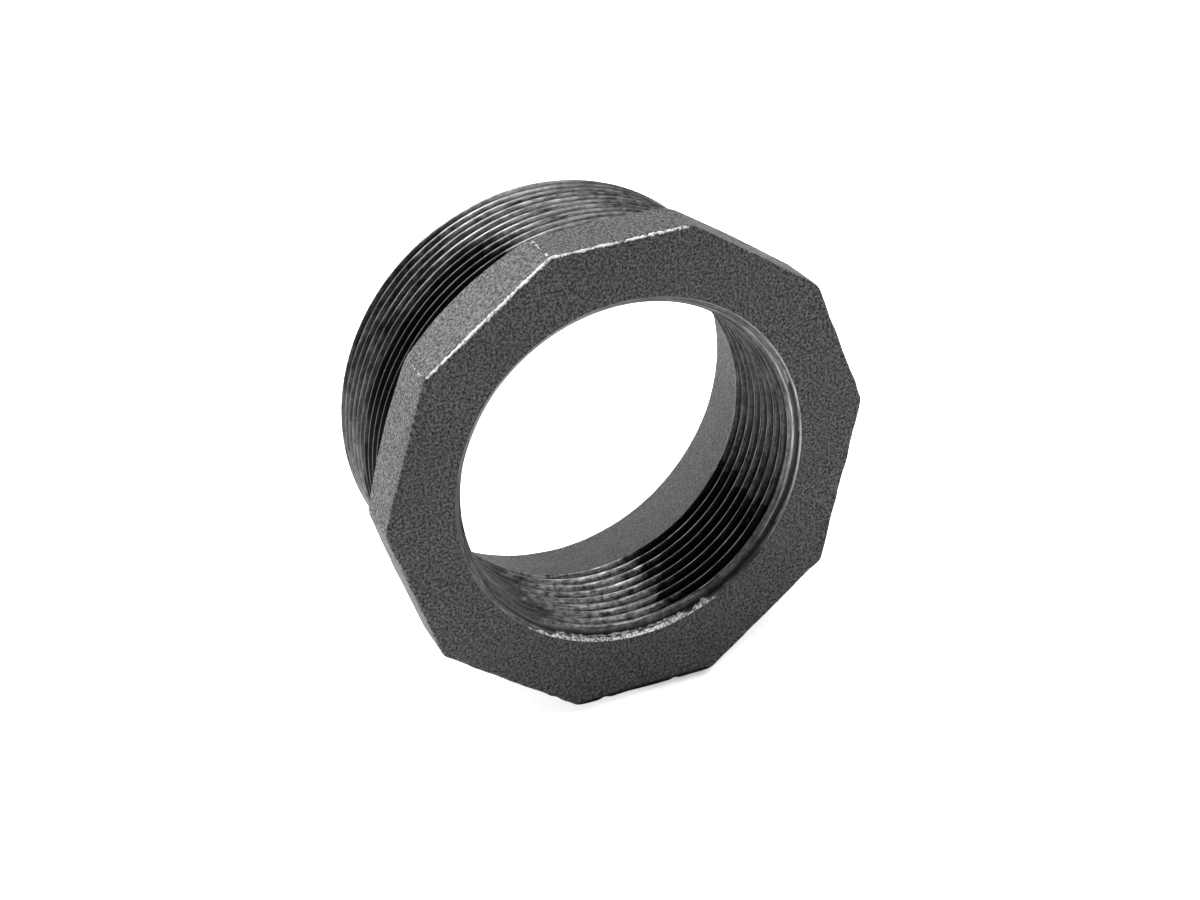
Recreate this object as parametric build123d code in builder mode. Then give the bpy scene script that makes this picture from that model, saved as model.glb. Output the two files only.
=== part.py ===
from build123d import *
from math import atan, cos, degrees, floor, radians, tan
import os

# Reducing bushing for threaded pipe: a malleable iron casting in one piece.
# A ten-sided head carries an internal parallel pipe thread of nominal size 2,
# and the shank behind it carries an external taper pipe thread of nominal size 2 1/2.
# One flat of the head faces down. Left free on a bench, the part tips back over that flat by
# about six degrees, on to the end of its shank.
# Origin: where the thread axis meets the front face of the head.
# +Y runs along the axis towards the end of the shank, and +Z points up.

# Pipe thread form, the same for both threads, in millimetres. Crests and roots are cut off flat.
threads_per_inch = 11
thread_pitch = 25.4 / threads_per_inch
thread_height = 0.640327 * thread_pitch
flank_angle = 27.5
root_flat = thread_pitch / 6

# External taper thread: its major diameter at the gauge plane, measured from the small end
gauge_diameter = 75.184
gauge_length = 17.5
taper_on_diameter = 1 / 16

# Internal parallel thread: its major diameter, and how far the full thread reaches from the face
female_major_diameter = 59.614
female_thread_reach = 20.3

# Where each groove passes the top of the part: from the end of the shank, and from the face of the head
male_groove_from_end = 2.27
female_groove_from_face = 4.44
# The first groove of the external thread keeps at least this far from the head, middle to shoulder
male_groove_clearance = 1.0
# Whole turns that the internal groove is started before that place, so that it starts clear of the face
female_turns_before = 3
# The cutting tool stands this far out of the metal, and a groove runs on this far past its far end
tool_overshoot = 0.15
groove_run_on = 1.4
# Metal left at both ends for the threads to be cut, and then faced off
facing_allowance = 4.0

# Casting
total_length = 38.0
head_sides = 10
head_across_flats = 80.0
head_flat_length = 10.2
head_back_angle = 30.0
head_corner_radius = 2.0
head_edge_radius = 0.5

# Machined mouth of the internal thread, a chamfer wider than the thread by this much all round
mouth_margin = 0.4
mouth_angle = 45.0

# Cored recess behind the internal thread: it starts wider than the thread, so that the tap runs out,
# and it opens towards the end of the shank, where the wall keeps this thickness under the thread crests
recess_margin = 0.7
recess_step_angle = 45.0
recess_end_wall = 3.6

# Broken edges at the end of the shank
shank_edge_break = 0.4

female_root_radius = female_major_diameter / 2
female_crest_radius = female_root_radius - thread_height
mouth_radius = female_root_radius + mouth_margin
mouth_point = mouth_radius / tan(radians(mouth_angle))

# Radius of the external crests at a distance from the head's face
taper_on_radius = taper_on_diameter / 2
shank_end_radius = (gauge_diameter - gauge_length * taper_on_diameter) / 2
shank_start_radius = shank_end_radius + (total_length - head_flat_length) * taper_on_radius
blank_length = total_length + facing_allowance
blank_end_radius = shank_end_radius - facing_allowance * taper_on_radius
blank_front_radius = shank_end_radius + blank_length * taper_on_radius

recess_start_radius = female_root_radius + recess_margin
recess_step = (recess_start_radius - female_crest_radius) / tan(radians(recess_step_angle))
recess_start = female_thread_reach + recess_step
recess_end_radius = shank_end_radius - recess_end_wall

# The head is joined to the sleeve inside the sleeve's wall, midway between the two threads
sleeve_middle_radius = (female_root_radius + shank_end_radius) / 2

# The back of the head is a flat cone. It meets the middle of each flat at the flat's full length,
# trims the corners shorter, like a nut's, and would come to its point here if the shank weren't there.
head_flat_radius = head_across_flats / 2
head_corner_reach = head_flat_radius / cos(radians(180 / head_sides))
head_back_rise = tan(radians(head_back_angle))
head_corner_length = head_flat_length - (head_corner_reach - head_flat_radius) * head_back_rise
head_back_point = head_flat_length + head_flat_radius * head_back_rise
shoulder = head_back_point - shank_start_radius * head_back_rise

# Each groove is cut along a helix that starts at the top of the part. The external one starts as many
# whole turns before the end of the shank as fit behind the head, the internal one clear of the face.
male_groove_last = total_length - male_groove_from_end
male_turns = floor((male_groove_last - shoulder - male_groove_clearance) / thread_pitch)
male_groove_start = male_groove_last - male_turns * thread_pitch
male_groove_length = total_length + groove_run_on - male_groove_start
male_groove_radius = shank_end_radius + (total_length - male_groove_start) * taper_on_radius - thread_height
female_groove_start = female_groove_from_face - female_turns_before * thread_pitch
female_groove_length = recess_start + groove_run_on - female_groove_start


def groove_outline(outward):
    """Corners of a groove's section, from its root on the path to its mouth past the crests."""
    mouth_height = thread_height + tool_overshoot
    mouth_half = root_flat / 2 + mouth_height * tan(radians(flank_angle))
    return [
        (0, -root_flat / 2),
        (outward * mouth_height, -mouth_half),
        (outward * mouth_height, mouth_half),
        (0, root_flat / 2),
    ]


with BuildPart() as head:
    # Prism with the corners rounded as the mould leaves them, open in the middle for the sleeve.
    # One corner points along +X, so that one flat faces down.
    with BuildSketch(Plane.XZ) as head_outline:
        RegularPolygon(head_flat_radius, head_sides, major_radius=False)
        fillet(head_outline.vertices(), head_corner_radius)
    extrude(amount=-head_back_point)
    with BuildSketch(Plane.XY) as head_envelope:
        with BuildLine():
            Polyline(
                (sleeve_middle_radius, 0),
                (head_corner_reach, 0),
                (head_corner_reach, head_corner_length),
                (sleeve_middle_radius, head_back_point - sleeve_middle_radius * head_back_rise),
                close=True,
            )
        make_face()
    revolve(axis=Axis.Y, mode=Mode.INTERSECT)
    front_face = head.faces().sort_by(Axis.Y)[0]
    fillet(front_face.outer_wire().edges(), head_edge_radius)

with BuildPart() as bushing:
    # Sleeve between the crests of both threads, with metal to spare at both ends
    with BuildSketch(Plane.XY) as sleeve_profile:
        with BuildLine():
            Polyline(
                (female_crest_radius, -facing_allowance),
                (blank_front_radius, -facing_allowance),
                (blank_end_radius, blank_length),
                (female_crest_radius, blank_length),
                close=True,
            )
        make_face()
    revolve(axis=Axis.Y)

    # External taper thread, cut right-handed from behind the head and out past the end
    with BuildLine() as male_path:
        Helix(
            thread_pitch,
            male_groove_length,
            male_groove_radius,
            center=(0, male_groove_start, 0),
            direction=(0, 1, 0),
            cone_angle=-degrees(atan(taper_on_radius)),
        )
    male_plane = Plane(male_path.line @ 0, x_dir=(0, 0, 1), z_dir=male_path.line % 0)
    with BuildSketch(male_plane) as male_groove:
        with BuildLine():
            Polyline(*groove_outline(1), close=True)
        make_face()
    sweep(path=male_path.line, is_frenet=True, mode=Mode.SUBTRACT)

    # Internal parallel thread, cut right-handed from in front of the face to the place of the recess
    with BuildLine() as female_path:
        Helix(
            thread_pitch,
            female_groove_length,
            female_root_radius,
            center=(0, female_groove_start, 0),
            direction=(0, 1, 0),
        )
    female_plane = Plane(female_path.line @ 0, x_dir=(0, 0, 1), z_dir=female_path.line % 0)
    with BuildSketch(female_plane) as female_groove:
        with BuildLine():
            Polyline(*groove_outline(-1), close=True)
        make_face()
    sweep(path=female_path.line, is_frenet=True, mode=Mode.SUBTRACT)

    # Recess that widens from a step behind the internal thread to the end of the shank
    with BuildSketch(Plane.XY) as recess:
        with BuildLine():
            Polyline(
                (0, female_thread_reach),
                (female_crest_radius, female_thread_reach),
                (recess_start_radius, recess_start),
                (recess_end_radius, total_length - shank_edge_break),
                (recess_end_radius + shank_edge_break, total_length),
                (recess_end_radius + shank_edge_break, blank_length),
                (0, blank_length),
                close=True,
            )
        make_face()
    revolve(axis=Axis.Y, mode=Mode.SUBTRACT)

    # End of the shank, faced to length with its outer edge broken
    with BuildSketch(Plane.XY) as end_facing:
        with BuildLine():
            Polyline(
                (0, total_length),
                (shank_end_radius - shank_edge_break, total_length),
                (shank_end_radius + shank_edge_break, total_length - 2 * shank_edge_break),
                (shank_end_radius + shank_edge_break, blank_length),
                (0, blank_length),
                close=True,
            )
        make_face()
    revolve(axis=Axis.Y, mode=Mode.SUBTRACT)

    # Front, faced back to the head's face, with the chamfered mouth in which the thread starts
    with BuildSketch(Plane.XY) as front_facing:
        with BuildLine():
            Polyline(
                (0, mouth_point),
                (mouth_radius, 0),
                (blank_front_radius, 0),
                (blank_front_radius, -facing_allowance),
                (0, -facing_allowance),
                close=True,
            )
        make_face()
    revolve(axis=Axis.Y, mode=Mode.SUBTRACT)

    add(head.part)

bushing.part.label = "bushing_body"
os.makedirs("parts", exist_ok=True)
export_step(bushing.part, "parts/bushing_body.step")
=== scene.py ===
import math

import bmesh
import bpy
from mathutils import Matrix, Vector, noise


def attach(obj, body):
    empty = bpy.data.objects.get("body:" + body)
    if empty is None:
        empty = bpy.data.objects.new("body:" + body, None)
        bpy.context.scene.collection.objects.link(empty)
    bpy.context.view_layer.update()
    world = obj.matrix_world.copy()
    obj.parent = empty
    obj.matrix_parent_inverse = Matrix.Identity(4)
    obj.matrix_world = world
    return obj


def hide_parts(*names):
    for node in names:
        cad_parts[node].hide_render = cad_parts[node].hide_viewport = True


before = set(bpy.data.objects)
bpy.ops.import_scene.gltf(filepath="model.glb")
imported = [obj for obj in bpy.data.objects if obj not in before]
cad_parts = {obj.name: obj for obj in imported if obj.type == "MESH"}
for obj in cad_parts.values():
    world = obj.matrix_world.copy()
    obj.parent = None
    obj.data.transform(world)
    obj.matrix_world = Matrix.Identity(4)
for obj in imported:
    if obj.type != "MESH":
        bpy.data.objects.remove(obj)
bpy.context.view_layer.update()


# Head of the casting. The real bushing is one piece of malleable iron, poured in a sand mould, and
# nothing has cut its ten flats, so each is a little out of true, in its distance and in how it is turned.
# Its front outer edge is a soft, uneven bead, and the back of each flat falls away in a blunt cone.
flat_count = 10
flat_turn = math.tau / flat_count
# From the flat that faces 18 degrees above +X, and on towards +Z: how far each lies from the axis,
# how many degrees it leans out of its place, and how far back it reaches at its middle
flat_distances = (0.0402, 0.0398, 0.0400, 0.0393, 0.0393, 0.0397, 0.0398, 0.0409, 0.0405, 0.0393)
flat_lean_degrees = (1.2, 1.0, 0.2, -1.3, -1.8, -1.9, -1.9, -1.0, -0.4, 2.1)
flat_back_middles = (0.0100, 0.0098, 0.0090, 0.0112, 0.0100, 0.0102, 0.0104, 0.0100, 0.0102, 0.0101)
# From the corner at +X, and on towards +Z: how round each corner is, and how far back it reaches
corner_radii = (0.0020, 0.0030, 0.0050, 0.0015, 0.0020, 0.0025, 0.0025, 0.0020, 0.0025, 0.0020)
corner_backs = (0.0088, 0.0088, 0.0085, 0.0084, 0.0086, 0.0088, 0.0088, 0.0086, 0.0088, 0.0088)
corner_steps = 4
flat_steps = 40
flat_rows = 14
front_edge_radius = 0.00045
front_edge_steps = 3
mouth_radius = 0.0302
face_rows = 16
neck_radius = 0.0378
neck_depth = 0.0118
neck_rows = 4
# Points closer than the first are one point, and a point lies past a place when it is the second beyond it
same_point = 1e-6
just_past = 1e-5


def select_only(piece):
    """Makes this the one selected object, and the active one."""
    bpy.ops.object.select_all(action="DESELECT")
    piece.select_set(True)
    bpy.context.view_layer.objects.active = piece


def choose_edges(piece, wanted):
    """In edit mode, selects the edges that the test wants, and nothing else."""
    bpy.ops.mesh.select_mode(type="EDGE")
    bpy.ops.mesh.select_all(action="DESELECT")
    shape = bmesh.from_edit_mesh(piece.data)
    for edge in shape.edges:
        if wanted(edge):
            edge.select_set(True)
    bmesh.update_edit_mesh(piece.data)


def lies_at(depth):
    """A test for edges that lie at this depth behind the head's face."""
    return lambda edge: all(abs(v.co.y - depth) < same_point for v in edge.verts)


def facing(place):
    """The direction in which a point lies from the axis, from +X and on towards +Z."""
    return math.atan2(place.z, place.x) % math.tau


def reach(place):
    """How far a point lies from the axis."""
    return math.hypot(place.x, place.z)


def flat_direction(flat):
    """The direction in which a flat faces, as an angle from +X and on towards +Z."""
    return flat_turn * (flat % flat_count + 0.5) + math.radians(flat_lean_degrees[flat])


def corner_place(corner):
    """Where the flat before a corner meets the flat after it."""
    before = flat_distances[corner - 1]
    after = flat_distances[corner]
    turned = flat_direction(corner - 1)
    between = flat_direction(corner) - turned
    along = (after - before * math.cos(between)) / math.sin(between)
    across = before * math.cos(turned) - along * math.sin(turned)
    up = before * math.sin(turned) + along * math.cos(turned)
    return Vector((across, 0, up))


corner_turns = [facing(corner_place(corner)) for corner in range(flat_count)]


def flat_at(place):
    """Which flat of the head a place lies towards, and how far along it, from -1 to 1."""
    turned = facing(place)
    flat = sum(turned >= corner_turn for corner_turn in corner_turns) - 1
    from_corner = (turned - corner_turns[flat]) % math.tau
    width = (corner_turns[(flat + 1) % flat_count] - corner_turns[flat]) % math.tau
    return flat % flat_count, 2 * from_corner / width - 1


upright = (math.pi / 2, 0, 0)
bpy.ops.object.select_all(action="DESELECT")
bpy.ops.mesh.primitive_circle_add(vertices=flat_count, radius=flat_distances[0], rotation=upright)
bushing = bpy.context.object
bushing.name = "bushing_casting"
bpy.ops.object.transform_apply(rotation=True)
for corner, vertex in enumerate(bushing.data.vertices):
    vertex.co = corner_place(corner)

# Rounded corners, then even steps along the flats
bpy.ops.object.mode_set(mode="EDIT")
for corner, radius in enumerate(corner_radii):
    place = corner_place(corner)
    shape = bmesh.from_edit_mesh(bushing.data)
    for vertex in shape.verts:
        vertex.select_set((vertex.co - place).length < just_past)
    bmesh.update_edit_mesh(bushing.data)
    trimmed = radius * math.tan(flat_turn / 2)
    bpy.ops.mesh.bevel(offset=trimmed, segments=corner_steps, affect="VERTICES")
longest_corner_edge = flat_distances[0] / 4
choose_edges(bushing, lambda edge: edge.calc_length() > longest_corner_edge)
bpy.ops.mesh.subdivide(number_cuts=flat_steps - 1)

# Flats: the outline is drawn back in rows
bpy.ops.mesh.select_all(action="SELECT")
flat_length = flat_back_middles[0]
for row in range(flat_rows):
    bpy.ops.mesh.extrude_region_move(TRANSFORM_OT_translate={"value": (0, flat_length / flat_rows, 0)})

# Back of the head: a last row is drawn in to the neck of the shank
neck_share = neck_radius / flat_distances[0]
bpy.ops.mesh.extrude_region_move(TRANSFORM_OT_translate={"value": (0, neck_depth - flat_length, 0)})
bpy.ops.transform.resize(value=(neck_share, 1, neck_share), center_override=(0, 0, 0))

# Front face: a ring as wide as the mouth is bridged to the outline
ring_points = flat_count * (flat_steps + corner_steps)
bpy.ops.mesh.primitive_circle_add(vertices=ring_points, radius=mouth_radius, rotation=upright)
choose_edges(bushing, lies_at(0))
bpy.ops.mesh.bridge_edge_loops(number_cuts=face_rows - 1, interpolation="LINEAR")
bpy.ops.object.mode_set(mode="OBJECT")

# The back of each flat is longest at its middle, and the neck is round
for vertex in bushing.data.vertices:
    place = vertex.co
    if place.y > flat_length + just_past:
        vertex.co = place * (neck_radius / reach(place))
        vertex.co.y = neck_depth
    elif place.y > just_past:
        flat, along = flat_at(place)
        corner_depth = corner_backs[flat]
        next_depth = corner_backs[(flat + 1) % flat_count]
        ends = corner_depth + (next_depth - corner_depth) * (along + 1) / 2
        rise = flat_back_middles[flat] - (corner_depth + next_depth) / 2
        vertex.co.y = place.y / flat_length * (ends + rise * (1 - along * along))

bpy.ops.object.mode_set(mode="EDIT")
choose_edges(bushing, lambda edge: sum(v.co.y > neck_depth - same_point for v in edge.verts) == 1)
bpy.ops.mesh.subdivide(number_cuts=neck_rows - 1)
bpy.ops.mesh.select_all(action="SELECT")
bpy.ops.mesh.normals_make_consistent(inside=False)
choose_edges(
    bushing,
    lambda edge: lies_at(0)(edge)
    and any(face.calc_center_median().y > just_past for face in edge.link_faces),
)
bpy.ops.mesh.bevel(offset=front_edge_radius, segments=front_edge_steps, affect="EDGES")
bpy.ops.object.mode_set(mode="OBJECT")


# Both threads are cut into the casting, 11 turns to the inch and right-handed. Each is drawn as the
# outline of a single turn, crest to crest, with the rounded crests and roots of a pipe thread, and is
# then wound into its turns.
thread_pitch = 0.0254 / 11
thread_height = 0.640327 * thread_pitch
thread_rounding = 0.137329 * thread_pitch
flank_lean = math.radians(27.5)
turn_steps = 216
# Where two surfaces meet, a gap this wide is left, and bridged once they are joined
bridged_gap = 0.0002


def turn_outline():
    """One turn's outline from crest to crest, as places along the pitch and depths below the crest."""
    swing = math.pi / 2 - flank_lean
    crest = [
        (thread_rounding * math.sin(swing * share), thread_rounding * (1 - math.cos(swing * share)))
        for share in (0, 0.5, 1)
    ]
    root = [(thread_pitch / 2 - along, thread_height - depth) for along, depth in reversed(crest)]
    middle = ((crest[-1][0] + root[0][0]) / 2, (crest[-1][1] + root[0][1]) / 2)
    falling = crest + [middle] + root
    rising = [(thread_pitch - along, depth) for along, depth in reversed(falling[:-1])]
    return falling + rising


def wind_thread(name, crest_radius, inwards, first_crest, front, back):
    """
    Winds the outline round the axis, so that a crest passes +X at first_crest, and trims both ends.
    Its roots lie towards the axis where inwards is 1, and away from it where inwards is -1.
    """
    start = first_crest - thread_pitch * (math.ceil((first_crest - front) / thread_pitch) + 1)
    bpy.ops.object.select_all(action="DESELECT")
    bpy.ops.mesh.primitive_plane_add(size=thread_pitch, location=(crest_radius, start, 0))
    thread = bpy.context.object
    thread.name = name
    bpy.ops.object.transform_apply(location=True)
    bpy.ops.object.mode_set(mode="EDIT")
    bpy.ops.mesh.select_mode(type="VERT")
    bpy.ops.mesh.merge(type="CENTER")
    outline = turn_outline()
    for (along, depth), (next_along, next_depth) in zip(outline, outline[1:]):
        step = (inwards * (depth - next_depth), next_along - along, 0)
        bpy.ops.mesh.extrude_region_move(TRANSFORM_OT_translate={"value": step})
    bpy.ops.object.mode_set(mode="OBJECT")
    turns = thread.modifiers.new("turns", "SCREW")
    turns.axis = "Y"
    turns.screw_offset = thread_pitch
    turns.iterations = math.ceil((back - start) / thread_pitch) + 1
    turns.steps = turn_steps
    turns.render_steps = turn_steps
    bpy.ops.object.modifier_apply(modifier="turns")
    bpy.ops.object.mode_set(mode="EDIT")
    bpy.ops.mesh.select_all(action="SELECT")
    bpy.ops.mesh.remove_doubles(threshold=same_point)
    for depth, cuts_front in ((front, True), (back, False)):
        bpy.ops.mesh.select_all(action="SELECT")
        bpy.ops.mesh.bisect(
            plane_co=(0, depth, 0), plane_no=(0, 1, 0), threshold=same_point,
            clear_inner=cuts_front, clear_outer=not cuts_front,
        )
    bpy.ops.object.mode_set(mode="OBJECT")
    return thread


def set_reach(vertex, radius):
    """Moves a point straight out from the axis, or in, to this distance."""
    share = radius / reach(vertex.co)
    vertex.co.x *= share
    vertex.co.z *= share


# External taper thread on the shank. A die cut it, so its groove runs out within a turn just behind the
# head, and the small end has a narrow chamfer. It tapers by one part in sixteen of its diameter.
shank_length = 0.0380
shank_end_radius = 0.037045
shank_end_chamfer = 0.0004
taper = 1 / 32
outer_crest_at_x = 0.016685
fade_start = 0.0113
fade_end = 0.0130


def outer_crest(depth):
    """How far the crests of the taper thread lie from the axis."""
    return shank_end_radius + (shank_length - depth) * taper


outer_front = neck_depth + bridged_gap
outer_thread = wind_thread(
    "outer_thread", shank_end_radius, 1, outer_crest_at_x, outer_front, shank_length,
)
for vertex in outer_thread.data.vertices:
    depth = vertex.co.y
    crest = outer_crest(depth)
    cut = reach(vertex.co) + crest - shank_end_radius
    faded = min(max((depth - fade_start) / (fade_end - fade_start), 0), 1)
    floor_of_cut = crest - thread_height * faded * faded * (3 - 2 * faded)
    chamfer = shank_end_radius - shank_end_chamfer + shank_length - depth
    set_reach(vertex, min(max(cut, floor_of_cut), chamfer))


# Internal parallel thread in the head. A tap cut it from the front face, after the mouth was chamfered,
# and ran out at the back in the wider cored recess.
inner_crest_radius = 0.028328
inner_crest_at_x = 0.003865
inner_thread_end = 0.0203
recess_start_radius = 0.030507
recess_start = inner_thread_end + recess_start_radius - inner_crest_radius

inner_front = bridged_gap / 2
inner_thread = wind_thread(
    "inner_thread", inner_crest_radius, -1, inner_crest_at_x, inner_front, recess_start,
)
for vertex in inner_thread.data.vertices:
    depth = vertex.co.y
    step = inner_crest_radius + depth - inner_thread_end
    set_reach(vertex, max(reach(vertex.co), mouth_radius - depth, step))


# Cored recess behind the internal thread. A sand core left it rough, and it widens towards the end
# of the shank, where a thin flat ring is left between it and the thread.
recess_end_radius = 0.033445
recess_edge = 0.0004
recess_rows = 22
recess_front = recess_start + bridged_gap
recess_back = shank_length - recess_edge

bpy.ops.object.select_all(action="DESELECT")
bpy.ops.mesh.primitive_cone_add(
    vertices=turn_steps, radius1=recess_start_radius, radius2=recess_end_radius,
    depth=recess_back - recess_front, end_fill_type="NOTHING",
    location=(0, (recess_front + recess_back) / 2, 0), rotation=(-math.pi / 2, 0, 0),
)
recess = bpy.context.object
bpy.ops.object.transform_apply(location=True, rotation=True)
bpy.ops.object.mode_set(mode="EDIT")
choose_edges(recess, lambda edge: abs(edge.verts[0].co.y - edge.verts[1].co.y) > recess_edge)
bpy.ops.mesh.subdivide(number_cuts=recess_rows - 1)
choose_edges(recess, lies_at(recess_back))
bpy.ops.mesh.extrude_region_move(TRANSFORM_OT_translate={"value": (0, recess_edge, 0)})
widened = 1 + recess_edge / recess_end_radius
bpy.ops.transform.resize(value=(widened, 1, widened), center_override=(0, 0, 0))
bpy.ops.object.mode_set(mode="OBJECT")


# The four surfaces are one casting, so they are joined, and each open rim is bridged to its neighbour:
# at the mouth, at the neck, where the internal thread meets the recess, and across the end of the shank.
rim_search = 0.001

select_only(bushing)
for part in (outer_thread, inner_thread, recess):
    part.select_set(True)
bpy.ops.object.join()
bpy.ops.object.mode_set(mode="EDIT")
for rim_depth in (0, neck_depth, recess_start, shank_length):
    choose_edges(
        bushing,
        lambda edge: edge.is_boundary and all(abs(v.co.y - rim_depth) < rim_search for v in edge.verts),
    )
    bpy.ops.mesh.bridge_edge_loops()
bpy.ops.mesh.select_all(action="SELECT")
bpy.ops.mesh.normals_make_consistent(inside=False)
bpy.ops.object.mode_set(mode="OBJECT")


# Cast surfaces are never flat: the skin follows the sand it was poured against, in shallow waves,
# and the bead round the front face wanders a little in and out.
CAST, CORED, INNER_CUT, OUTER_CUT, MOUTH_CUT, END_CUT = range(6)
mouth_depth = 0.0019
# The length of each wave, and how far it stands out
skin_waves = ((0.0140, 0.00012), (0.0035, 0.00005))
bead_waves = ((0.0050, 0.00024), (0.0016, 0.00010))
bead_width = 0.0009
# The bead is given a painted highlight, most at the top and the left, and a black painted contact
# shadow where the head lies on its lowest flat
lowest_flat = 7
bead_highlight_and_shadow = {0: 0.3, 1: 0.6, 2: 1.0, 3: 1.0, 4: 0.4, lowest_flat: -1.0}
# Two corners at the upper left get painted highlight too, in specks along their ridges
ridge_highlights = {3: 0.60, 4: 0.52}
ridge_start = 0.90
# Three nicks in the lower front edge of the head, by their places along X
nick_places = (-0.0162, -0.0075, 0.0053)
nick_half_width = 0.0010
nick_depth = 0.0004


def surface_of(place):
    """Which finish a face has, by where its middle lies."""
    if reach(place) > recess_end_radius + recess_edge:
        if place.y > shank_length - just_past:
            return END_CUT
        return OUTER_CUT if place.y > neck_depth else CAST
    if place.y < same_point:
        return CAST
    if reach(place) > mouth_radius - place.y - just_past and place.y < mouth_depth:
        return MOUTH_CUT
    return INNER_CUT if place.y < recess_start else CORED


def nick_at(place):
    """How far the edge of the head is knocked in at a place."""
    if place.z > 0:
        return 0
    from_nick = min(abs(place.x - nick) for nick in nick_places)
    return nick_depth * max(1 - from_nick / nick_half_width, 0)


def waves(place, sizes):
    """How far a cast surface stands out of true at a place."""
    return sum(height * noise.noise(place / length) for length, height in sizes)


finishes = [surface_of(face.center) for face in bushing.data.polygons]
on_cut = {
    corner
    for face, finish in zip(bushing.data.polygons, finishes) if finish not in (CAST, CORED)
    for corner in face.vertices
}
painted_light = {}
moves = {}
for vertex in bushing.data.vertices:
    if vertex.index in on_cut:
        continue
    out = waves(vertex.co, skin_waves)
    flat, along = flat_at(vertex.co)
    aside = math.cos(facing(vertex.co) - flat_direction(flat))
    from_edge = math.hypot(vertex.co.y, reach(vertex.co) * aside - flat_distances[flat])
    on_ridge = abs(along) > ridge_start and reach(vertex.co) > flat_distances[flat]
    if from_edge < bead_width:
        out += (waves(vertex.co, bead_waves) - nick_at(vertex.co)) * (1 - from_edge / bead_width)
        painted_light[vertex.index] = (1 - from_edge / bead_width) * bead_highlight_and_shadow.get(flat, 0)
    elif on_ridge and vertex.co.y < min(corner_backs):
        corner = (flat + (along > 0)) % flat_count
        ridge = (abs(along) - ridge_start) / (1 - ridge_start)
        painted_light[vertex.index] = ridge * ridge_highlights.get(corner, 0)
    moves[vertex.index] = vertex.normal * out
for index, move in moves.items():
    bushing.data.vertices[index].co += move

# The height of each point between root and crest is kept on the mesh, for the two thread finishes.
# The chamfer of the mouth counts as lying between the two.
chamfer_share = 0.6
crest_share = bushing.data.attributes.new("crest_share", "FLOAT", "POINT")
for vertex in bushing.data.vertices:
    radius = reach(vertex.co)
    if radius > recess_end_radius + recess_edge:
        below = outer_crest(vertex.co.y) - radius
    else:
        below = radius - inner_crest_radius
    share = min(max(1 - below / thread_height, 0), 1)
    on_chamfer = abs(radius + vertex.co.y - mouth_radius) < just_past
    crest_share.data[vertex.index].value = chamfer_share if on_chamfer else share
painted_light_share = bushing.data.attributes.new("painted_light_share", "FLOAT", "POINT")
for index, share in painted_light.items():
    painted_light_share.data[index].value = share

smooth_up_to = math.radians(40)
select_only(bushing)
bpy.ops.object.shade_smooth_by_angle(angle=smooth_up_to)


# Cast skin. The black skin is as it left the mould, with the print of the sand all over it: grains a
# third to half a millimetre across, and a slower change of tone.
grains_per_metre = 2400.0
tones_per_metre = 120.0
tone_swing = 0.25
grain_relief = 0.00035
roughest_grain = 0.75
smoothest_grain = 0.5
skin_metal = 0.35
# Black of the painted contact shadow along the lowest edge
painted_shadow_grey = 0.003
# Nearly all of a cloudy pattern lies between these
cloud_low = 0.3
cloud_high = 0.7
# The skin turns to painted highlight between two shares, and to a black painted contact shadow between two
# others. The grain and a slower wander move the edge of the bright part to and fro.
bright_between = (0.56, 0.74)
painted_shadow_between = (-0.05, -0.30)
moved_by_grain = (-0.14, 0.14)
moved_by_wander = (-0.13, 0.11)
wanders_per_metre = 1100.0


def add_node(tree, kind, inputs=(), **settings):
    """Adds a node with its settings. An input takes a value, or a socket to link from."""
    node = tree.nodes.new(kind)
    for name, value in settings.items():
        setattr(node, name, value)
    for name, value in dict(inputs).items():
        if isinstance(value, bpy.types.NodeSocket):
            tree.links.new(value, node.inputs[name])
        else:
            node.inputs[name].default_value = value
    return node


def mixed(tree, share, first, second, blend="MIX"):
    """A colour mixed from two, by a share that changes over the surface."""
    mix = add_node(tree, "ShaderNodeMix", {
        0: share, 6: first, 7: second,
    }, data_type="RGBA", blend_type=blend)
    return mix.outputs[2]


def ranged(tree, value, low, high, to_low=0.0, to_high=1.0):
    """Stretches part of a value's range over another."""
    node = add_node(tree, "ShaderNodeMapRange", {
        "Value": value, "From Min": low, "From Max": high, "To Min": to_low, "To Max": to_high,
    })
    return node.outputs["Result"]


def worked_out(tree, operation, first, second=0.0):
    """A sum on values that change over the surface."""
    return add_node(tree, "ShaderNodeMath", {0: first, 1: second}, operation=operation).outputs[0]


def cloudy(tree, place, per_metre, detail, roughness=0.5):
    """A cloudy pattern, from 0 to 1, with this many clouds to the metre."""
    node = add_node(tree, "ShaderNodeTexNoise", {
        "Vector": place, "Scale": per_metre, "Detail": detail, "Roughness": roughness,
    })
    return node.outputs["Fac"]


def on_object(tree):
    """The place of each point of the surface."""
    return add_node(tree, "ShaderNodeTexCoord").outputs["Object"]


def on_mesh(tree, name):
    """A share that is kept on the mesh."""
    return add_node(tree, "ShaderNodeAttribute", attribute_name=name).outputs["Fac"]


def grey(level):
    """A neutral colour."""
    return (level, level, level, 1)


def new_group(name, inputs, outputs):
    """A shader node group with these sockets, and its own input and output nodes."""
    group = bpy.data.node_groups.new(name, "ShaderNodeTree")
    for side, sockets in (("INPUT", inputs), ("OUTPUT", outputs)):
        for socket, kind in sockets.items():
            group.interface.new_socket(socket, in_out=side, socket_type="NodeSocket" + kind)
    return group, group.nodes.new("NodeGroupInput"), group.nodes.new("NodeGroupOutput")


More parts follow.
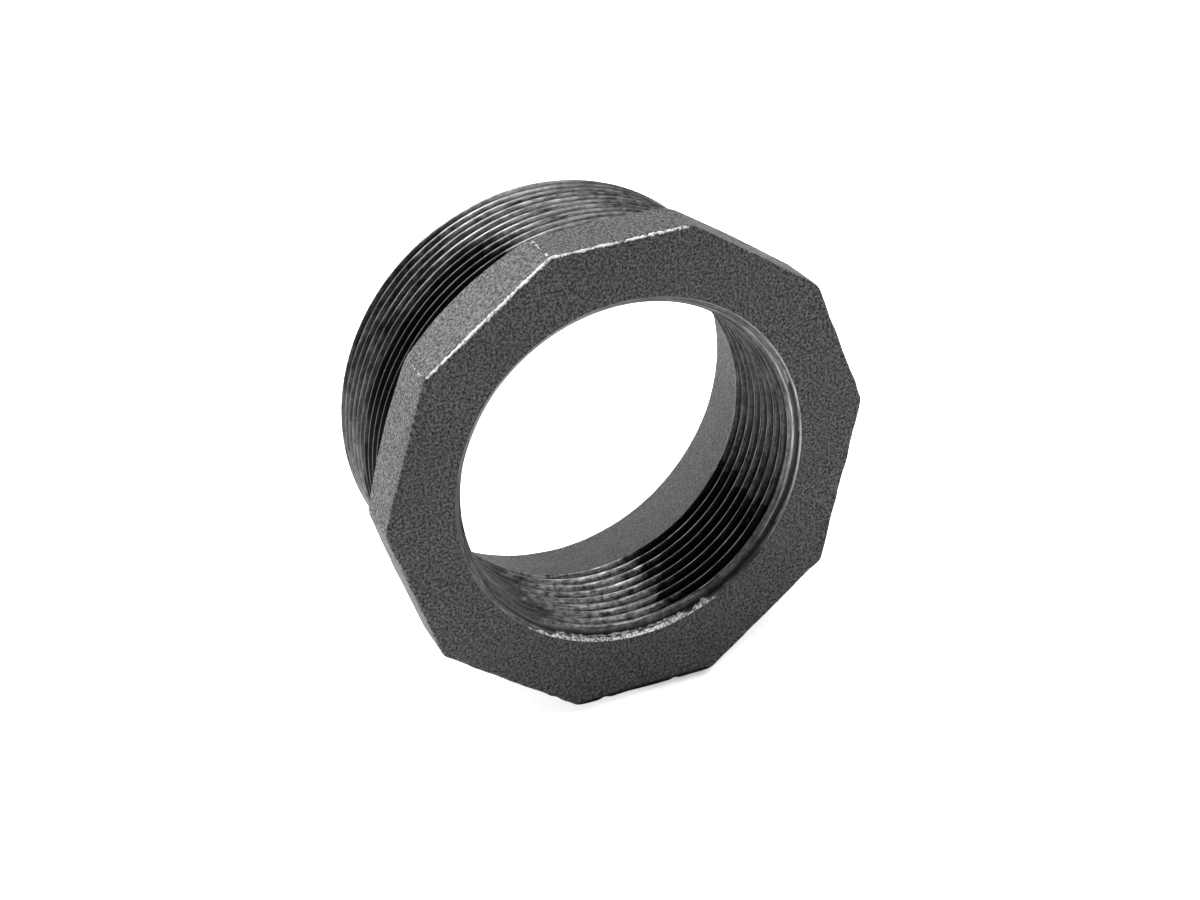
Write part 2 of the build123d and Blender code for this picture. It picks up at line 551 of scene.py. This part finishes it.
grain_group, given, result = new_group(
    "sand_grain",
    {"Dark": "Color", "Light": "Color", "Grains per metre": "Float"},
    {"Colour": "Color", "Roughness": "Float", "Height": "Float"},
)
place = on_object(grain_group)
grains = cloudy(grain_group, place, given.outputs["Grains per metre"], detail=2.0, roughness=0.65)
tone = cloudy(grain_group, place, tones_per_metre, detail=3.0, roughness=0.6)
share = ranged(grain_group, grains, 0.40, 0.60)
speckled = mixed(grain_group, share, given.outputs["Dark"], given.outputs["Light"])
tone_change = mixed(grain_group, tone, grey(1 - tone_swing), grey(1 + tone_swing))
toned = mixed(grain_group, 1.0, speckled, tone_change, "MULTIPLY")
roughness = ranged(grain_group, grains, cloud_low, cloud_high, roughest_grain, smoothest_grain)
grain_group.links.new(toned, result.inputs["Colour"])
grain_group.links.new(roughness, result.inputs["Roughness"])
grain_group.links.new(grains, result.inputs["Height"])


def sand_grain(tree, dark, light):
    """The print of the sand, between two greys."""
    return add_node(tree, "ShaderNodeGroup", {
        "Dark": grey(dark), "Light": grey(light), "Grains per metre": grains_per_metre,
    }, node_tree=grain_group)


def cast_iron(name, dark, light, highlight_grey):
    """Black sand-cast skin, with a painted highlight along the bead of the head and a painted contact
    shadow along its lowest edge.
    """
    material = bpy.data.materials.new(name)
    material.use_nodes = True
    tree = material.node_tree
    surface = tree.nodes["Principled BSDF"]
    skin = sand_grain(tree, dark, light)
    light_share_on_mesh = on_mesh(tree, "painted_light_share")
    wander = cloudy(tree, on_object(tree), wanders_per_metre, detail=3.0)
    moved = ranged(tree, wander, cloud_low, cloud_high, *moved_by_wander)
    specks = ranged(tree, skin.outputs["Height"], cloud_low, cloud_high, *moved_by_grain)
    ragged_share = worked_out(tree, "ADD", light_share_on_mesh, worked_out(tree, "ADD", moved, specks))
    # Painted highlight along the bead and the ridges
    bright = ranged(tree, ragged_share, *bright_between)
    # Painted contact shadow along the lowest edge: black, and fully metallic so that it reflects almost
    # nothing
    painted_shadow = ranged(tree, light_share_on_mesh, *painted_shadow_between)
    shadowed_skin = mixed(tree, painted_shadow, skin.outputs["Colour"], grey(painted_shadow_grey))
    bump = add_node(tree, "ShaderNodeBump", {
        "Height": skin.outputs["Height"], "Distance": grain_relief, "Strength": 1.0,
    })
    tree.links.new(mixed(tree, bright, shadowed_skin, grey(highlight_grey)), surface.inputs["Base Color"])
    tree.links.new(skin.outputs["Roughness"], surface.inputs["Roughness"])
    tree.links.new(bump.outputs["Normal"], surface.inputs["Normal"])
    tree.links.new(ranged(tree, painted_shadow, 0, 1, skin_metal, 1.0), surface.inputs["Metallic"])
    return material


# Cut iron. The threads, the chamfer of the mouth and the end of the shank were cut bright and have since
# darkened:
# fine lines run round the axis, a lighter line runs along each crest, partly wear and partly painted
# highlight, and a film of dried oil mottles the flanks. Stretches of painted shade darken the metal inside
# and next to the head.
lines_per_metre = 400.0
lines_round = 6.0
mottles_per_metre = 900.0
cut_relief = 0.00005
smoothest_cut = 0.3
roughest_cut = 0.55
# How dark and how light the patterns make the metal, as shares of its colour
mottle_dark = 0.15
streak_dark = 0.1
pattern_light = 1.9
# How dark the painted shade makes the roots, as a share of the colour
root_shade_tone = 0.07
# As heights between root and crest: where the painted shade in the root thins out, and where the crest
# line lies
root_shade_between = (0.25, 0.95)
crest_line_between = (0.97, 0.995)


def across_axis(tree, place):
    """The part of a place that lies square to the axis."""
    square = add_node(tree, "ShaderNodeVectorMath", {0: place, 1: (1, 0, 1)}, operation="MULTIPLY")
    return square.outputs[0]


def reach_of(tree, place):
    """How far a place lies from the axis."""
    flattened = across_axis(tree, place)
    return add_node(tree, "ShaderNodeVectorMath", {0: flattened}, operation="LENGTH").outputs["Value"]


def side_of(tree, place):
    """The direction in which a place lies from the axis."""
    flattened = across_axis(tree, place)
    return add_node(tree, "ShaderNodeVectorMath", {0: flattened}, operation="NORMALIZE").outputs[0]


cut_group, given, result = new_group(
    "cut_marks",
    {
        "Root": "Color", "Crest": "Color", "Shade colour": "Color", "Dull crest": "Color",
        "Mottled": "Float", "Shade share": "Float",
    },
    {"Colour": "Color", "Line": "Color", "Roughness": "Float", "Height": "Float"},
)
place = on_object(cut_group)
depth = add_node(cut_group, "ShaderNodeSeparateXYZ", {"Vector": place}).outputs["Y"]
side = add_node(cut_group, "ShaderNodeSeparateXYZ", {"Vector": side_of(cut_group, place)})
behind = worked_out(cut_group, "SUBTRACT", depth, reach_of(cut_group, place))
fine_lines = worked_out(cut_group, "MULTIPLY", behind, lines_per_metre)
wrapped = add_node(cut_group, "ShaderNodeCombineXYZ", {
    "X": side.outputs["X"], "Y": fine_lines, "Z": side.outputs["Z"],
})
streaks = cloudy(cut_group, wrapped.outputs[0], lines_round, detail=4.0, roughness=0.75)
mottles = cloudy(cut_group, place, mottles_per_metre, detail=3.0, roughness=0.7)
height = on_mesh(cut_group, "crest_share")
mottle_share = ranged(cut_group, mottles, 0.34, 0.66)
mottle_tone = mixed(cut_group, mottle_share, grey(mottle_dark), grey(pattern_light))
mottled = mixed(cut_group, given.outputs["Mottled"], given.outputs["Root"], mottle_tone, "MULTIPLY")
# Painted shade, mixed in over the mottled metal
shade_mixed = mixed(cut_group, given.outputs["Shade share"], mottled, given.outputs["Shade colour"])
# Painted shade, darkest in the roots
root_shade = ranged(cut_group, height, *root_shade_between, root_shade_tone, 1.0)
flanks = mixed(cut_group, 1.0, shade_mixed, root_shade, "MULTIPLY")
dulled = mixed(cut_group, given.outputs["Shade share"], given.outputs["Crest"], given.outputs["Dull crest"])
# The crest line: partly wear and partly painted highlight, lighter than the painted shade around it
crest_line = ranged(cut_group, height, *crest_line_between)
unbroken = ranged(cut_group, mottles, 0.36, 0.44)
crested = mixed(cut_group, worked_out(cut_group, "MULTIPLY", crest_line, unbroken), flanks, dulled)
streak_share = ranged(cut_group, streaks, 0.33, 0.67)
streak_tone = mixed(cut_group, streak_share, grey(streak_dark), grey(pattern_light))
streaked = mixed(cut_group, 1.0, crested, streak_tone, "MULTIPLY")
bright_line = mixed(cut_group, 1.0, dulled, streak_tone, "MULTIPLY")
roughness = ranged(cut_group, mottles, 0.35, 0.65, smoothest_cut, roughest_cut)
cut_group.links.new(streaked, result.inputs["Colour"])
cut_group.links.new(bright_line, result.inputs["Line"])
cut_group.links.new(roughness, result.inputs["Roughness"])
cut_group.links.new(streaks, result.inputs["Height"])

# Stretches round the axis: the direction of each in degrees, how far it reaches to each side, and its blur
unshaded_inside = (262, 20, 0.05)
darkest_inside = (308, 26, 0.04)
darkest_outside = (158, 50, 0.06)
shaded_outside = (190, 75, 0.20)
# How dark the painted shade makes the metal, inside and outside
inner_shade_amount = 0.90
outer_shade_amount = 0.65
# The painted shade behind the head is whole up to the first depth, and ends at the second
beside_head = (0.0235, 0.0285)
# How far the edges of the painted shade wander, and how often: along the axis in metres, round it as a
# share
depth_wander = 0.012
depth_wanders_per_metre = 45.0
side_wander = 0.12
side_wanders_per_metre = 300.0


def near_depth(tree, full, none):
    """One at one depth behind the face, and nought at another, with a wandering edge."""
    place = on_object(tree)
    depth = add_node(tree, "ShaderNodeSeparateXYZ", {"Vector": place}).outputs["Y"]
    wander = cloudy(tree, place, depth_wanders_per_metre, detail=3.0)
    moved = ranged(tree, wander, 0, 1, -depth_wander, depth_wander)
    return ranged(tree, worked_out(tree, "ADD", depth, moved), full, none, 1, 0)


def near_side(tree, degrees, half_degrees, blur):
    """One to this far each side of a direction round the axis, and nought past it, with a mottled edge."""
    place = on_object(tree)
    turned = math.radians(degrees)
    middle = (math.cos(turned), 0, math.sin(turned))
    outward = side_of(tree, place)
    near = add_node(tree, "ShaderNodeVectorMath", {0: outward, 1: middle}, operation="DOT_PRODUCT")
    wander = cloudy(tree, place, side_wanders_per_metre, detail=4.0)
    moved = ranged(tree, wander, 0, 1, -side_wander, side_wander)
    closeness = worked_out(tree, "ADD", near.outputs["Value"], moved)
    edge = math.cos(math.radians(half_degrees))
    return ranged(tree, closeness, edge - blur, edge + blur)


def inner_painted_shade(tree):
    """Painted shade and reflection inside: only the lowest turns are left clear, and beside them the
    painted shade is darkest.
    """
    spread_shade = ranged(tree, near_side(tree, *unshaded_inside), 0, 1, inner_shade_amount, 0)
    return worked_out(tree, "MAXIMUM", spread_shade, near_side(tree, *darkest_inside))


def outer_painted_shade(tree):
    """Painted shade: the turns next to the head are black on the left, and that side is darkened all
    along.
    """
    near_head = near_depth(tree, *beside_head)
    deep_shade = worked_out(tree, "MULTIPLY", near_head, near_side(tree, *darkest_outside))
    spread_shade = ranged(tree, near_side(tree, *shaded_outside), 0, 1, 0, outer_shade_amount)
    return worked_out(tree, "MAXIMUM", deep_shade, spread_shade)


# At the mouth the chamfer broke through the skin in a ragged bright rim, widest at the lowest part of the
# mouth, where its width is partly painted highlight, and two fine turned lines are painted as highlights
# on the right
rim_start = mouth_radius - 0.00055
rim_blur = 0.0001
rim_narrowing = 0.0012
rim_widest = (264, 36, 0.12)
rim_wander = 0.0002
turned_lines = (0.0291, 0.0301)
turned_line_core = 0.00008
turned_line_edge = 0.00014
turned_line_highlight_side = (15, 52, 0.12)


def rim_shares(tree):
    """Two shares of the mouth: the ragged rim, partly painted highlight, and the turned lines inside it, a
    painted highlight on the right.
    """
    place = on_object(tree)
    radius = reach_of(tree, place)
    narrowed = ranged(tree, near_side(tree, *rim_widest), 0, 1, -rim_narrowing, 0)
    wander = cloudy(tree, place, mottles_per_metre, detail=3.0)
    moved = ranged(tree, wander, cloud_low, cloud_high, -rim_wander, rim_wander)
    shifted = worked_out(tree, "ADD", radius, worked_out(tree, "ADD", narrowed, moved))
    rim = ranged(tree, shifted, rim_start, rim_start + rim_blur)
    lines = []
    for line_radius in turned_lines:
        aside = worked_out(tree, "ABSOLUTE", worked_out(tree, "SUBTRACT", radius, line_radius))
        lines.append(ranged(tree, aside, turned_line_core, turned_line_edge, 1, 0))
    either_line = worked_out(tree, "MAXIMUM", *lines)
    # Painted highlight: the turned lines show only on the right
    turned = worked_out(tree, "MULTIPLY", either_line, near_side(tree, *turned_line_highlight_side))
    return rim, turned


def cut_iron(name, root, crest, dull_crest, mottled, shade_grey, shade_mask=None, rim=None, metal=0.9):
    """Iron that was cut bright and has since darkened. The rim is given as the two greys of its grain."""
    material = bpy.data.materials.new(name)
    material.use_nodes = True
    tree = material.node_tree
    surface = tree.nodes["Principled BSDF"]
    marks = add_node(tree, "ShaderNodeGroup", {
        "Root": grey(root), "Crest": grey(crest), "Dull crest": grey(dull_crest), "Shade colour": grey(shade_grey),
        "Mottled": mottled,
    }, node_tree=cut_group)
    if shade_mask:
        tree.links.new(shade_mask(tree), marks.inputs["Shade share"])
    colour = marks.outputs["Colour"]
    if rim:
        ragged, turned = rim_shares(tree)
        colour = mixed(tree, turned, colour, marks.outputs["Line"])
        colour = mixed(tree, ragged, colour, sand_grain(tree, *rim).outputs["Colour"])
    bump = add_node(tree, "ShaderNodeBump", {
        "Height": marks.outputs["Height"], "Distance": cut_relief, "Strength": 1.0,
    })
    tree.links.new(colour, surface.inputs["Base Color"])
    tree.links.new(marks.outputs["Roughness"], surface.inputs["Roughness"])
    tree.links.new(bump.outputs["Normal"], surface.inputs["Normal"])
    surface.inputs["Metallic"].default_value = metal
    return material


bushing.data.materials.clear()
for material in (
    cast_iron("cast_skin", dark=0.002, light=0.086, highlight_grey=0.60),
    cast_iron("cored_skin", dark=0.003, light=0.018, highlight_grey=0.40),
    cut_iron(
        "inner_thread_cut", root=0.46, crest=0.46, dull_crest=0.055, mottled=0.8, shade_grey=0.016,
        shade_mask=inner_painted_shade,
    ),
    cut_iron(
        "outer_thread_cut", root=0.21, crest=0.09, dull_crest=0.050, mottled=0.35, shade_grey=0.005,
        shade_mask=outer_painted_shade,
    ),
    cut_iron(
        "mouth_cut", root=0.20, crest=0.30, dull_crest=0.10, mottled=0.5, shade_grey=0.02,
        rim=(0.18, 0.95), metal=0.5,
    ),
    cut_iron("end_cut", root=0.20, crest=0.35, dull_crest=0.10, mottled=0.5, shade_grey=0.02),
):
    bushing.data.materials.append(material)
bushing.data.polygons.foreach_set("material_index", finishes)

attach(bushing, "root")
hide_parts("bushing_body")


# Pale bench top. Left free, the bushing tips back over the rear edge of its lowest flat, on to the end
# of its shank, so the bench passes through both. From below it can be seen through. It glows a little,
# more to the eye than on to the iron, and its glow is dimmed where the bushing is close to it: a painted
# contact shadow.
bench_size = 3.0
bench_grey = 0.9
bench_roughness = 0.8
bench_glow_seen = 0.75
bench_glow_felt = 0.45
bench_shade_reach = 0.0013
toe_from_end = 0.0006
heel = Vector((0, flat_back_middles[lowest_flat], -flat_distances[lowest_flat]))
toe = Vector((0, shank_length - toe_from_end, -shank_end_radius))
bench_tilt = math.atan2(toe.z - heel.z, toe.y - heel.y)

bpy.ops.object.select_all(action="DESELECT")
bpy.ops.mesh.primitive_plane_add(size=bench_size, location=heel, rotation=(bench_tilt, 0, 0))
bench = bpy.context.object
bench.name = "bench"
bpy.ops.object.transform_apply(location=True, rotation=True)
bench_paper = bpy.data.materials.new("bench_paper")
bench_paper.use_nodes = True
tree = bench_paper.node_tree
paper = tree.nodes["Principled BSDF"]
paper.inputs["Base Color"].default_value = grey(bench_grey)
paper.inputs["Roughness"].default_value = bench_roughness
paper.inputs["Emission Color"].default_value = grey(1)
seen = add_node(tree, "ShaderNodeLightPath").outputs["Is Camera Ray"]
glow = ranged(tree, seen, 0, 1, bench_glow_felt, bench_glow_seen)
painted_contact_shadow = add_node(tree, "ShaderNodeAmbientOcclusion", {"Distance": bench_shade_reach}, samples=8)
shaded = worked_out(tree, "MULTIPLY", glow, painted_contact_shadow.outputs["AO"])
tree.links.new(shaded, paper.inputs["Emission Strength"])
below = add_node(tree, "ShaderNodeNewGeometry").outputs["Backfacing"]
clear = add_node(tree, "ShaderNodeBsdfTransparent")
either = add_node(tree, "ShaderNodeMixShader", {"Fac": below, 1: paper.outputs[0], 2: clear.outputs[0]})
tree.links.new(either.outputs[0], tree.nodes["Material Output"].inputs["Surface"])
bench.data.materials.append(bench_paper)


# Studio light: a room that is bright behind the bushing and dark in front of it, soft boxes above and
# behind, and two small ones in front and at the side, for the mouth and its thread
front_strength = 0.06
back_strength = 0.70
dark_up_to = -0.2
bright_from = 0.5
# The place, the size and the power of each box
soft_boxes = {
    "back_box": ((-0.45, 0.75, 0.55), 0.6, 7),
    "top_box": ((-0.25, 0.30, 0.92), 0.5, 21),
    "mouth_box": ((0.27, -0.41, 0.74), 0.12, 1.8),
    "side_box": ((0.32, -0.20, 0.02), 0.12, 0.25),
}

room = bpy.data.worlds.new("room")
bpy.context.scene.world = room
room.use_nodes = True
tree = room.node_tree
looked_at = add_node(tree, "ShaderNodeTexCoord").outputs["Generated"]
backwards = add_node(tree, "ShaderNodeSeparateXYZ", {"Vector": looked_at}).outputs["Y"]
felt = ranged(tree, backwards, dark_up_to, bright_from, front_strength, back_strength)
seen = add_node(tree, "ShaderNodeLightPath").outputs["Is Camera Ray"]
strength = add_node(tree, "ShaderNodeMix", {0: seen, 2: felt, 3: 1.0})
background = tree.nodes["Background"]
background.inputs["Color"].default_value = grey(1)
tree.links.new(strength.outputs[0], background.inputs["Strength"])

for name, (place, size, power) in soft_boxes.items():
    lamp = bpy.data.lights.new(name, "AREA")
    lamp.shape = "SQUARE"
    lamp.size = size
    lamp.energy = power
    box = bpy.data.objects.new(name, lamp)
    box.location = place
    box.rotation_euler = (-Vector(place)).to_track_quat("-Z", "Y").to_euler()
    box.visible_camera = False
    bpy.context.scene.collection.objects.link(box)


# Camera, at the height and side from which the bushing was seen
camera_place = Vector((-0.1108, -0.2630, 0.1577))
camera_aim = Vector((-0.0040, 0.0038, 0.0038))
camera_roll = math.radians(-3.95)
camera_lens = 61.57
nearest_seen = 0.01
lens = bpy.data.cameras.new("camera")
lens.lens = camera_lens
lens.clip_start = nearest_seen
camera = bpy.data.objects.new("camera", lens)
level_view = (camera_aim - camera_place).to_track_quat("-Z", "Y")
rolled = Matrix.Rotation(camera_roll, 4, "Z")
camera.matrix_world = Matrix.Translation(camera_place) @ level_view.to_matrix().to_4x4() @ rolled
bpy.context.scene.collection.objects.link(camera)
bpy.context.scene.camera = camera
bpy.context.scene.view_settings.view_transform = "Standard"
